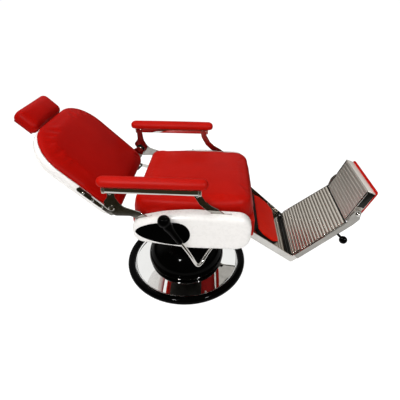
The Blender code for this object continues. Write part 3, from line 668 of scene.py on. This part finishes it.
def back_cushion():
    low, high = BACK.node_box("back_cushion")
    rings = crowned(low.z, low.z + 0.012, high.z - 0.008, 0.085, high.y, 0.060, 0.0015, 0.003)
    # The back pad takes the darker leather copy: painted shade.
    cushion("back_pad", BACK, back_outline("back_cushion"), rings, 0.008, 200, "backrest",
            "back_cushion", 0.7, 0.005, BACK_RED_PAINTED_SHADE)


def headrest_cushion():
    low, high = BACK.node_box("headrest_cushion")
    outline = rounded(symmetric([(low.x, high.y, 0.026), (high.x, high.y, 0.026)]), 12)
    half = (high.x - low.x) / 2
    rings = crowned(low.z, low.z + 0.030, high.z - 0.008, 0.034, half, 0.022, 0.006, 0.012)
    # The headrest takes the darker leather copy: painted shade.
    cushion("headrest_pad", BACK, outline, rings, 0.008, 160, "headrest", "headrest_cushion",
            0.8, 0.004, BACK_RED_PAINTED_SHADE, voxel=0.005)


def arm_pads():
    for word, _ in SIDES:
        node = f"arm_pad_{word}"
        low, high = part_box(node)
        outline = rounded([(low.x, low.y, 0.027), (high.x, low.y, 0.027),
                           (high.x, high.y, 0.027), (low.x, high.y, 0.027)])
        half = (high.y - low.y) / 2
        rings = crowned(low.z, low.z + 0.018, high.z - 0.001, half - 0.001, half, 0.025, 0.010,
                        0.012)
        cushion(f"armrest_pad_{word}", FLOOR, outline, rings, 0.001, 160, "seat", node, 0.9,
                0.002, voxel=0.004)


def calf_pad():
    low, high = LEG.node_box("calf_pad")
    outline = rounded(symmetric([(low.x, high.y - 0.020, 0.018),
                                 (low.x + 0.035, high.y, 0.05), (low.x + 0.105, high.y, 0.05),
                                 (high.x, high.y - 0.035, 0.020)]))
    base = [(0.003, 1.0, low.z), (0.001, 1.0, low.z + 0.001), (0.001, 1.0, high.z - 0.007)]
    tray = stacked("calf_pad_base", even(outline, 120), base, on(LEG))
    placed(tray, "legrest", "black_rubber", RUBBER)
    half = (high.x - low.x) / 2
    rings = crowned(high.z - 0.0075, high.z - 0.004, high.z, 0.012, half, 0.012, 0.0015)
    rings = [(inset + 0.0035, scale, height) for inset, scale, height in rings]
    pad = stacked("calf_cushion", even(outline, 140), rings, on(LEG), 180.0, 0.003,
                  high.z - 0.005)
    # The calf pad takes the brighter leather copy: painted light.
    placed(pad, "legrest", "red_leather", CALF_RED_PAINTED_LIGHT, "calf_pad")


def flap_pad():
    low, high = FLAP.node_box("flap_pad")
    outline = rounded(symmetric([(low.x, high.y - 0.003, 0.012), (high.x, high.y, 0.012)]))
    rings = crowned(-high.z, -high.z + 0.004, -low.z, 0.010, high.y, 0.009, 0.0015)
    place = lambda u, v, h: FLAP.matrix @ Vector((u, v, -h))
    pad = stacked("flap_cushion", even(outline, 120), rings, place, 180.0)
    placed(pad, "foot_flap", "red_leather", RED, "flap_pad")


# Base ---------------------------------------------------------------------
def base():
    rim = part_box("base_disc")[1]
    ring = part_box("base_ring")[1]
    land, edge, outer, tall = rim.z, rim.x, ring.x, ring.z
    profile = [(0.0, land), (0.212, land), (0.216, land - 0.0006), (edge - 0.010, land - 0.0205)]
    profile += arc(edge - 0.0045, land - 0.0200, 0.0030, 150, 0, 8)
    profile += [(edge - 0.001, 0.001), (edge - 0.022, 0.001), (edge - 0.026, land - 0.030),
                (0.215, land - 0.009), (0.065, land - 0.009), (0.060, 0.0005), (0.0, 0.0005)]
    placed(turned("base_plate", profile, None, 160), "base", "chrome", DISC, "base_disc")
    section = arc(outer - 0.019, tall - 0.020, 0.019, -60, 90, 12, 0.020)
    section += arc(edge + 0.018, tall - 0.020, 0.0175, 90, 175, 10, 0.020)
    section += [(edge + 0.0008, 0.003), (edge + 0.004, 0.0003), (outer - 0.012, 0.0003)]
    placed(turned("base_trim", section, None, 160, closed=True), "base", "black_gloss", BLACK,
           "base_ring")


def pump():
    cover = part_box("pump_cover")
    reach, low, top = cover[1].x, cover[0].z, cover[1].z
    hole, rim, bulge = 0.048, 0.200, 0.065
    first = math.acos(hole / reach)
    dome = []
    for step in range(33):
        angle = first * (1 - step / 32)
        dome.append((reach * math.cos(angle), bulge + (top - bulge) * math.sin(angle)))
    for step in range(1, 13):
        share = math.sin(math.pi / 2 * step / 12.6)
        dome.append((reach - (reach - rim) * (1 - math.sqrt(1 - share ** 2)),
                     bulge - (bulge - low) * share))
    inner = [(rim - 0.004, low + 0.0002), (reach - 0.012, bulge), (reach * 0.7, bulge + 0.090),
             (hole + 0.003, top - 0.006)]
    collar = arc(hole + 0.0015, top - 0.0005, 0.0025, 230, 60, 5)
    placed(turned("pump_dome", collar + dome + inner, None, 160, closed=True, sharp=50),
           "base", "black_gloss", BLACK, "pump_cover")


# Seat casing --------------------------------------------------------------
def side_casing():
    x0, x1 = span("side_shell_right", 0)
    inner, outer = -span("side_shell_right", 1)[1], -span("side_shell_right", 1)[0]
    corners = [(x0, 0.535, 0.050), (-0.060, 0.572, 0.300), (0.060, 0.5855, 0.500),
               (x1, 0.576, 0.062), (x1, 0.399, 0.068), (0.050, 0.395, 0.500),
               (x0, 0.428, 0.050)]
    outline = even(rounded(corners, 14), 240)
    cavity = outer - 0.014
    rings = [(0.006, 1.0, cavity), (0.006, 1.0, inner + 0.001), (0.003, 1.0, inner),
             (0.0008, 1.0, inner + 0.0012), (0.0, 1.0, inner + 0.003)]
    shell = crowned(inner, outer - 0.023, outer, 0.026, 0.09, 0.024)
    rings += [ring for ring in shell if ring[2] > inner + 0.010]
    drop = even(leaf((-0.187, 0.494), (0.0575, 0.4845), 0.0625), 180)
    slots = ((x0 - 0.02, -0.112, 0.500), (0.146, 0.240, 0.545))
    for word, side in SIDES:
        casing = stacked(f"casing_{word}", outline, rings, beside(side))
        for x_low, x_high, z_low in slots:
            cut(casing, slot_cutter((x_low, 0.2970, z_low), (x_high, 0.3065, 0.620), side))
        placed(casing, "seat", "white_shell", WHITE, f"side_shell_{word}")
        near, far = sorted(abs(v) for v in span(f"side_inset_{word}", 1))
        badge = crowned(near - 0.002, near + 0.0015, far, 0.004, 0.06, 0.004, 0.0006)
        inset = stacked(f"inset_{word}", drop, badge, beside(side))
        placed(inset, "seat", "black_gloss", INSET, f"side_inset_{word}")


def leaf(tail, nose, half, steps=24):
    """Teardrop outline between two points, fullest at three quarters."""
    start, end = Vector(tail), Vector(nose)
    along = (end - start).normalized()
    side = Vector((-along.y, along.x))
    full = 0.75
    edge = []
    for step in range(steps + 1):
        share = full * (1 - math.cos(math.pi / 2 * step / steps))
        edge.append((share, (1 - (1 - share / full) ** 1.9) ** 0.59))
    for step in range(1, steps + 1):
        turn = math.pi / 2 * step / steps
        edge.append((full + (1 - full) * math.sin(turn), math.cos(turn)))
    upper = [start.lerp(end, share) + side * half * height for share, height in edge]
    lower = [start.lerp(end, share) - side * half * height for share, height in edge]
    return upper + lower[-2:0:-1]


def slot_cutter(low, high, side):
    """Plain block that is cut out of a casing and then removed."""
    corners = [Vector((x, y)) for x, y in ((low[0], low[2]), (high[0], low[2]),
                                           (high[0], high[2]), (low[0], high[2]))]
    return stacked("slot", corners, [(0.0, 1.0, low[1]), (0.0, 1.0, high[1])], beside(side))


def seat_underside():
    low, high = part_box("seat_base")
    block("seat_lining", (low.x, low.y, low.z), (high.x, high.y, high.z), on(FLOOR), "seat",
          "red_leather", LINING, "seat_base", radius=0.006)
    for node in ("mount_plate", "seat_rail_right", "seat_rail_left", "lever_bearing"):
        refined(node, "seat", "dark_steel", STEEL, 0.0015)
    for node in ("rear_cross_tube", "leg_pivot_shaft"):
        refined(node, "seat", "chrome", CHROME, 0.0010)


# Arms ---------------------------------------------------------------------
def arms():
    for word, side in SIDES:
        for node in (f"arm_bracket_{word}", f"arm_strut_{word}"):
            refined(node, "seat", "chrome", BRACKET, 0.0009)
        low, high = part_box(f"arm_channel_{word}")
        block(f"arm_rail_{word}", low, high, on(FLOOR), "seat", "chrome", CHROME,
              f"arm_channel_{word}", radius=0.002)
        for end, x in (("rear", low.x), ("front", high.x - 0.010)):
            block(f"arm_cap_{end}_{word}", (x - 0.002, low.y - 0.0012, low.z - 0.002),
                  (x + 0.012, high.y + 0.0012, high.z), on(FLOOR), "seat", "chrome", SATIN,
                  radius=0.002)
        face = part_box(f"arm_bracket_{word}")[0 if side < 0 else 1].y
        for end, x, z in (("rear", -0.287, 0.668), ("front", 0.089, 0.668)):
            screw(f"arm_screw_{end}_{word}", across(x, face, z, side), "seat", 0.0062)
        refined(f"back_pin_{word}", "seat", "chrome", CHROME, 0.0008)


# Backrest -----------------------------------------------------------------
def back_casing():
    rear = BACK.node_box("back_shell")[0].z
    front = BACK.node_box("back_cushion")[0].z - 0.0005
    rings = [(0.006, 1.0, rear + 0.010), (0.006, 1.0, front), (0.0012, 1.0, front),
             (0.0002, 1.0, front - 0.0012), (0.0002, 1.0, front - 0.022)]
    for step in range(1, 13):
        turn = math.pi / 2 * step / 12
        distance = 0.045 * (1 - math.cos(turn))
        rings.append((0.0002 + distance, 1.0,
                      front - 0.022 - (front - 0.022 - rear - 0.003) * math.sin(turn)))
    for step in range(1, 8):
        share = 1 - step / 7.4
        rings.append((0.0452, share, rear + 0.003 * share ** 2))
    shell = stacked("back_casing", even(back_outline("back_shell"), 220), rings, on(BACK))
    placed(shell, "backrest", "white_shell", WHITE, "back_shell")


def back_hardware():
    for word, side in SIDES:
        refined(f"back_bracket_{word}", "backrest", "dark_steel", BRACKET, 0.0009)
        face = max(abs(corner.y) for corner in BACK.node_box(f"back_bracket_{word}"))
        for number, (s, t) in enumerate(((0.1315, -0.041), (0.081, -0.0425), (0.031, -0.044))):
            spot = BACK.matrix @ Vector((s, 0.0, t))
            screw(f"back_screw_{word}_{number}", across(spot.x, side * face, spot.z, side),
                  "backrest", 0.0072, DISC)
        place = lambda u, v, h: BACK.matrix @ Vector((u, side * h * BACK.across.y, v))
        block(f"back_flange_{word}", (0.000, -0.0290, 0.2795), (0.095, -0.0255, face + 0.006),
              place, "backrest", "chrome", CHROME)
    for node in ("back_crank", "headrest_guide"):
        refined(node, "backrest", "dark_steel", STEEL, 0.0012)
    refined("headrest_bar", "headrest_slide", "chrome", CHROME, 0.0012)
    refined("headrest_bracket", "headrest", "chrome", CHROME, 0.0008)


# Leg rest -----------------------------------------------------------------
def half_width(node, x):
    """Half the width of a node's cross-section at x, from its corners."""
    places = sorted((abs(v.co.x - x), abs(v.co.y)) for v in nodes[node].data.vertices)
    return max(y for _, y in places[:8])


def ribs(name, plane, start, end, face, height, half_at, body, material):
    """A row of raised rounded bars across a plate."""
    bars = []
    count = round((end - start) / RIB_PITCH)
    step = (end - start) / count
    for number in range(count):
        low = start + number * step + step * 0.14
        high = low + step * 0.72
        half = half_at((low + high) / 2)
        radius = (high - low) * 0.45
        outline = rounded(symmetric([(low, half, radius), (high, half, radius)]), 5)
        rings = [(0.0, 1.0, face - 0.001), (0.0, 1.0, face + height * 0.55),
                 (radius * 0.12, 1.0, face + height * 0.80),
                 (radius * 0.40, 1.0, face + height * 0.96), (radius * 0.85, 1.0, face + height)]
        bars.append(stacked(f"bar_{number}", outline, rings, on(plane)))
    placed(joined(name, bars), body, "ribbed_metal", material)


def leg_frame():
    for word, _ in SIDES:
        refined(f"leg_rail_{word}", "legrest", "chrome", CHROME, 0.0012)
        refined(f"foot_rail_{word}", "legrest", "ribbed_metal", BRACKET, 0.0012)
        refined(f"flap_bolt_{word}", "legrest", "chrome", CHROME, 0.0008)
        refined(f"foot_bumper_{word}", "legrest", "black_rubber", BLACK, 0.0006)
    refined("leg_panel", "legrest", "chrome", BRACKET, 0.0008)
    refined("knee_bar", "legrest", "dark_steel", STEEL, 0.0008)
    panel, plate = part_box("leg_panel"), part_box("foot_plate")
    half = span("knee_bar", 1)[1] - 0.001
    block("knee_sheet", (panel[1].x - 0.006, -half, panel[0].z - 0.0030),
          (plate[0].x + 0.016, half, panel[0].z - 0.0006), lambda u, v, h: Vector((u, v, h)),
          "legrest", "dark_steel", STEEL)


def foot_tread():
    low, high = FOOT.node_box("foot_plate")
    x_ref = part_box("foot_plate")[0].x + 0.06
    wide, slope = half_width("foot_plate", x_ref), 0.075

    def half_at(along):
        x = (FOOT.matrix @ Vector((along, 0.0, 0.0))).x
        return wide - slope * (x - x_ref)

    notch, tread = 0.009, 0.0035
    corners = [(low.x, half_at(low.x) - notch), (0.0525, half_at(0.0525) - notch),
               (0.0530, half_at(0.053)), (high.x, half_at(high.x))]
    outline = [Vector((x, -y)) for x, y in corners] + [Vector((x, y)) for x, y in corners[::-1]]
    rings = [(0.0, 1.0, low.z), (0.0, 1.0, high.z - tread)]
    slab = stacked("foot_base", outline, rings, on(FOOT))
    placed(slab, "legrest", "ribbed_metal", GROOVE, "foot_plate")
    end = half_at(high.x)
    block("foot_seam", (high.x - 0.001, -end, low.z + 0.001),
          (high.x + 0.0060, end, high.z - 0.0020), on(FOOT), "legrest", "black_rubber", RUBBER)
    ribs("foot_ribs", FOOT, low.x, high.x, high.z - tread, tread,
         lambda s: half_at(s) - (notch + 0.002 if s < 0.06 else 0.004), "legrest", SATIN)


def foot_flap():
    low, high = FLAP.node_box("flap_tray")
    wall, face = 0.0035, high.z - 0.0010
    outline = rounded(symmetric([(low.x, high.y, 0.003), (high.x, high.y, 0.003)]), 4)
    rings = [(wall, 1.0, face - 0.005), (wall, 1.0, low.z), (0.0006, 1.0, low.z),
             (0.0, 1.0, low.z + 0.0006), (0.0, 1.0, face - 0.0020), (0.0008, 1.0, face - 0.0004),
             (0.002, 1.0, face)]
    tray = stacked("flap_body", outline, rings, on(FLAP))
    placed(tray, "foot_flap", "ribbed_metal", PLATE, "flap_tray")
    ribs("flap_ribs", FLAP, low.x + 0.003, high.x - 0.004, face, 0.0010,
         lambda s: high.y - 0.006, "foot_flap", PLATE)
    for word, side in SIDES:
        place = lambda u, v, h: FLAP.matrix @ Vector((u, side * FLAP.across.y * h, v))
        s0, s1, t0, t1 = 0.034, high.x - 0.004, low.z + 0.003, face - 0.003
        block(f"flap_side_{word}", (s0, t0, high.y - 0.001), (s1, t1, high.y + 0.0006), place,
              "foot_flap", "dark_steel", STEEL, radius=0.0004)
        block(f"flap_seal_{word}", (low.x + 0.003, face - 0.0005, high.y - 0.0055),
              (high.x - 0.004, face + 0.0010, high.y - 0.0015), place, "foot_flap",
              "black_rubber", RUBBER, radius=0.0004)
        bars = ((s0 - 0.003, t0 - 0.003, s0, t1 + 0.003), (s1, t0 - 0.003, s1 + 0.003, t1 + 0.003),
                (s0, t0 - 0.003, s1, t0), (s0, t1, s1, t1 + 0.003))
        for number, (u0, v0, u1, v1) in enumerate(bars):
            block(f"flap_frame_{word}_{number}", (u0, v0, high.y - 0.001),
                  (u1, v1, high.y + 0.0022), place, "foot_flap", "chrome", CHROME, radius=0.0006)


# Levers -------------------------------------------------------------------
def levers():
    pivot = joint_point("lift_lever_stroke")
    x, z = pivot.x, pivot.z
    foot, reach = Vector((0.020, -0.374, 0.465)), Vector((-0.048, -0.374, 0.582))
    up = (reach - foot).normalized()
    path = [(x, -0.150, z), (x, -0.258, z), (x - 0.006, -0.266, z - 0.010), (0.154, -0.290, 0.371),
            (0.131, -0.320, 0.352), (0.114, -0.348, 0.333), (0.104, -0.364, 0.328),
            (0.094, -0.372, 0.330), (0.084, -0.374, 0.340), foot - up * 0.08, foot + up * 0.004]
    rod = swept("lever_bar", softened(path), 0.0078)
    placed(rod, "lift_lever", "chrome", CHROME, "lever_rod")
    length, ball = (reach - foot).length, 0.028
    profile = [(0.0, 0.0)] + arc(0.0115, 0.0025, 0.0025, -90, 0, 4)
    profile += [(0.0150, length * 0.25), (0.0168, length * 0.45), (0.0192, length * 0.64),
                (0.0222, length * 0.78)]
    profile += [(ball * math.cos(math.radians(a)), length + ball * math.sin(math.radians(a)))
                for a in range(-42, 90, 7)]
    profile.append((0.0, length + ball))
    turn = up.to_track_quat("Z", "Y").to_matrix().to_4x4()
    grip = turned("lever_handle", profile, Matrix.Translation(foot) @ turn, 48)
    placed(grip, "lift_lever", "black_gloss", BLACK, "lever_grip")
    refined("release_lever", "recline_release", "black_gloss", BLACK, 0.0010)


# Carried-over nodes -------------------------------------------------------
def carried_over():
    """CAD nodes that keep their shape and only get a material."""
    looks = {"lift_piston": CHROME, "pump_cylinder": STEEL, "swivel_housing": STEEL,
             "recline_rod": CHROME, "back_board": WOOD, "headrest_board": LINING}
    for name, material in looks.items():
        nodes[name].data.materials.clear()
        nodes[name].data.materials.append(material)
        nodes[name].data.shade_smooth()
        nodes[name].data.set_sharp_from_angle(angle=math.radians(35))


# Stage --------------------------------------------------------------------
class Graph:
    """Short forms for a stage material's or the world's node tree."""

    def __init__(self, owner):
        owner.use_nodes = True
        self.tree = owner.node_tree
        self.tree.nodes.clear()
        self.place = self.add("ShaderNodeTexCoord")
        self.ray = self.add("ShaderNodeLightPath")

    def add(self, kind, **values):
        node = self.tree.nodes.new(kind)
        for key, value in values.items():
            setattr(node, key, value)
        return node

    def wire(self, node, **inputs):
        """Feed a node's sockets, named or numbered as _0, and return it."""
        for key, value in inputs.items():
            socket = node.inputs[int(key[1:]) if key[0] == "_" else key.replace("_", " ")]
            if isinstance(value, bpy.types.NodeSocket):
                self.tree.links.new(value, socket)
            else:
                socket.default_value = value
        return node

    def smooth(self, value, low, high):
        node = self.add("ShaderNodeMapRange", interpolation_type="SMOOTHSTEP")
        self.wire(node, Value=value, From_Min=low, From_Max=high)
        return node.outputs["Result"]

    def times(self, one, two):
        node = self.add("ShaderNodeMath", operation="MULTIPLY")
        return self.wire(node, _0=one, _1=two).outputs[0]

    def blend(self, share, one, two):
        node = self.add("ShaderNodeMix", data_type="RGBA")
        return self.wire(node, _0=share, _6=one, _7=two).outputs[2]


def softbox(name, place, aim, size, power, glossy=False, diffuse=True):
    """An area light, hidden from mirrors unless it is glossy."""
    data = bpy.data.lights.new(name, "AREA")
    data.energy, data.size = power, size
    lamp = new_object(name, data)
    lamp.location = place
    lamp.rotation_euler = (Vector(aim) - Vector(place)).to_track_quat("-Z", "Y").to_euler()
    lamp.visible_glossy, lamp.visible_diffuse = glossy, diffuse


def floor():
    """Pale floor, brighter to the camera than as a light, and dark in mirrors far out."""
    mesh = bpy.data.meshes.new("floor")
    wide = 60.0
    mesh.from_pydata([(-wide, -wide, 0), (wide, -wide, 0), (wide, wide, 0), (-wide, wide, 0)],
                     [], [(0, 1, 2, 3)])
    ground = new_object("floor", mesh)
    ground.location.z = -0.0005
    material = bpy.data.materials.new("floor")
    g = Graph(material)
    split = g.wire(g.add("ShaderNodeSeparateXYZ"), _0=g.place.outputs["Object"])
    sideways = g.add("ShaderNodeMath", operation="ABSOLUTE")
    g.wire(sideways, _0=split.outputs["Y"])
    far = g.smooth(sideways.outputs[0], FLOOR_WHITE, FLOOR_WHITE + 0.06)
    mirrored = g.wire(g.add("ShaderNodeEmission"),
                      Color=g.blend(far, (0.80, 0.80, 0.79, 1.0), (0.030, 0.025, 0.013, 1.0)))
    glow = g.wire(g.add("ShaderNodeEmission"), Strength=g.wire(
        g.add("ShaderNodeMapRange"), Value=g.ray.outputs["Is Camera Ray"], To_Min=0.55,
        To_Max=0.93).outputs["Result"])
    matte = g.wire(g.add("ShaderNodeBsdfDiffuse"), Color=(0.30, 0.30, 0.30, 1.0))
    seen = g.wire(g.add("ShaderNodeAddShader"), _0=glow.outputs[0], _1=matte.outputs[0])
    pick = g.wire(g.add("ShaderNodeMixShader"), _0=g.ray.outputs["Is Glossy Ray"],
                  _1=seen.outputs[0], _2=mirrored.outputs[0])
    g.wire(g.add("ShaderNodeOutputMaterial"), Surface=pick.outputs[0])
    mesh.materials.append(material)


def studio():
    """Even grey light; mirrors see white high behind the chair, dark elsewhere."""
    world = bpy.data.worlds.new("studio")
    scene.world = world
    g = Graph(world)
    split = g.wire(g.add("ShaderNodeSeparateXYZ"), _0=g.place.outputs["Generated"])
    wall = g.times(g.smooth(split.outputs["Z"], 0.08, 0.42),
                   g.smooth(split.outputs["Y"], -0.20, 0.30))
    mirrored = g.blend(wall, (0.030, 0.026, 0.016, 1.0), (0.86, 0.86, 0.85, 1.0))
    colour = g.blend(g.ray.outputs["Is Glossy Ray"], (0.30, 0.30, 0.30, 1.0), mirrored)
    back = g.wire(g.add("ShaderNodeBackground"), Color=colour)
    g.wire(g.add("ShaderNodeOutputWorld"), Surface=back.outputs[0])

    softbox("overhead", (-0.9, -0.2, 2.9), (0.0, 0.0, 0.4), 2.0, 52.0)
    softbox("front", (-0.6, -2.9, 2.1), (0.1, 0.0, 0.4), 1.6, 46.0)
    softbox("side", (2.2, -2.2, 1.8), (0.3, 0.0, 0.4), 1.2, 12.0)
    dome, glint = (0.0, -0.15, 0.15), 0.16
    softbox("glint_left", (-0.531, -1.473, 1.858), dome, glint, 30.0, True, False)
    softbox("glint_right", (1.084, -1.138, 1.849), dome, glint, 26.0, True, False)


def camera():
    data = bpy.data.cameras.new("camera")
    data.lens, data.sensor_width = 29.37, 36.0
    eye = new_object("camera", data)
    eye.location = (0.1686, -1.4435, 1.4305)
    eye.rotation_euler = (math.radians(90 - 34.363), 0.0, math.radians(3.451))
    scene.camera = eye


scene.view_settings.view_transform = "Standard"
camera()
floor()
studio()
seat_cushion()
seat_trim()
back_cushion()
headrest_cushion()
arm_pads()
calf_pad()
flap_pad()
base()
pump()
side_casing()
seat_underside()
arms()
back_casing()
back_hardware()
leg_frame()
foot_tread()
foot_flap()
levers()
carried_over()
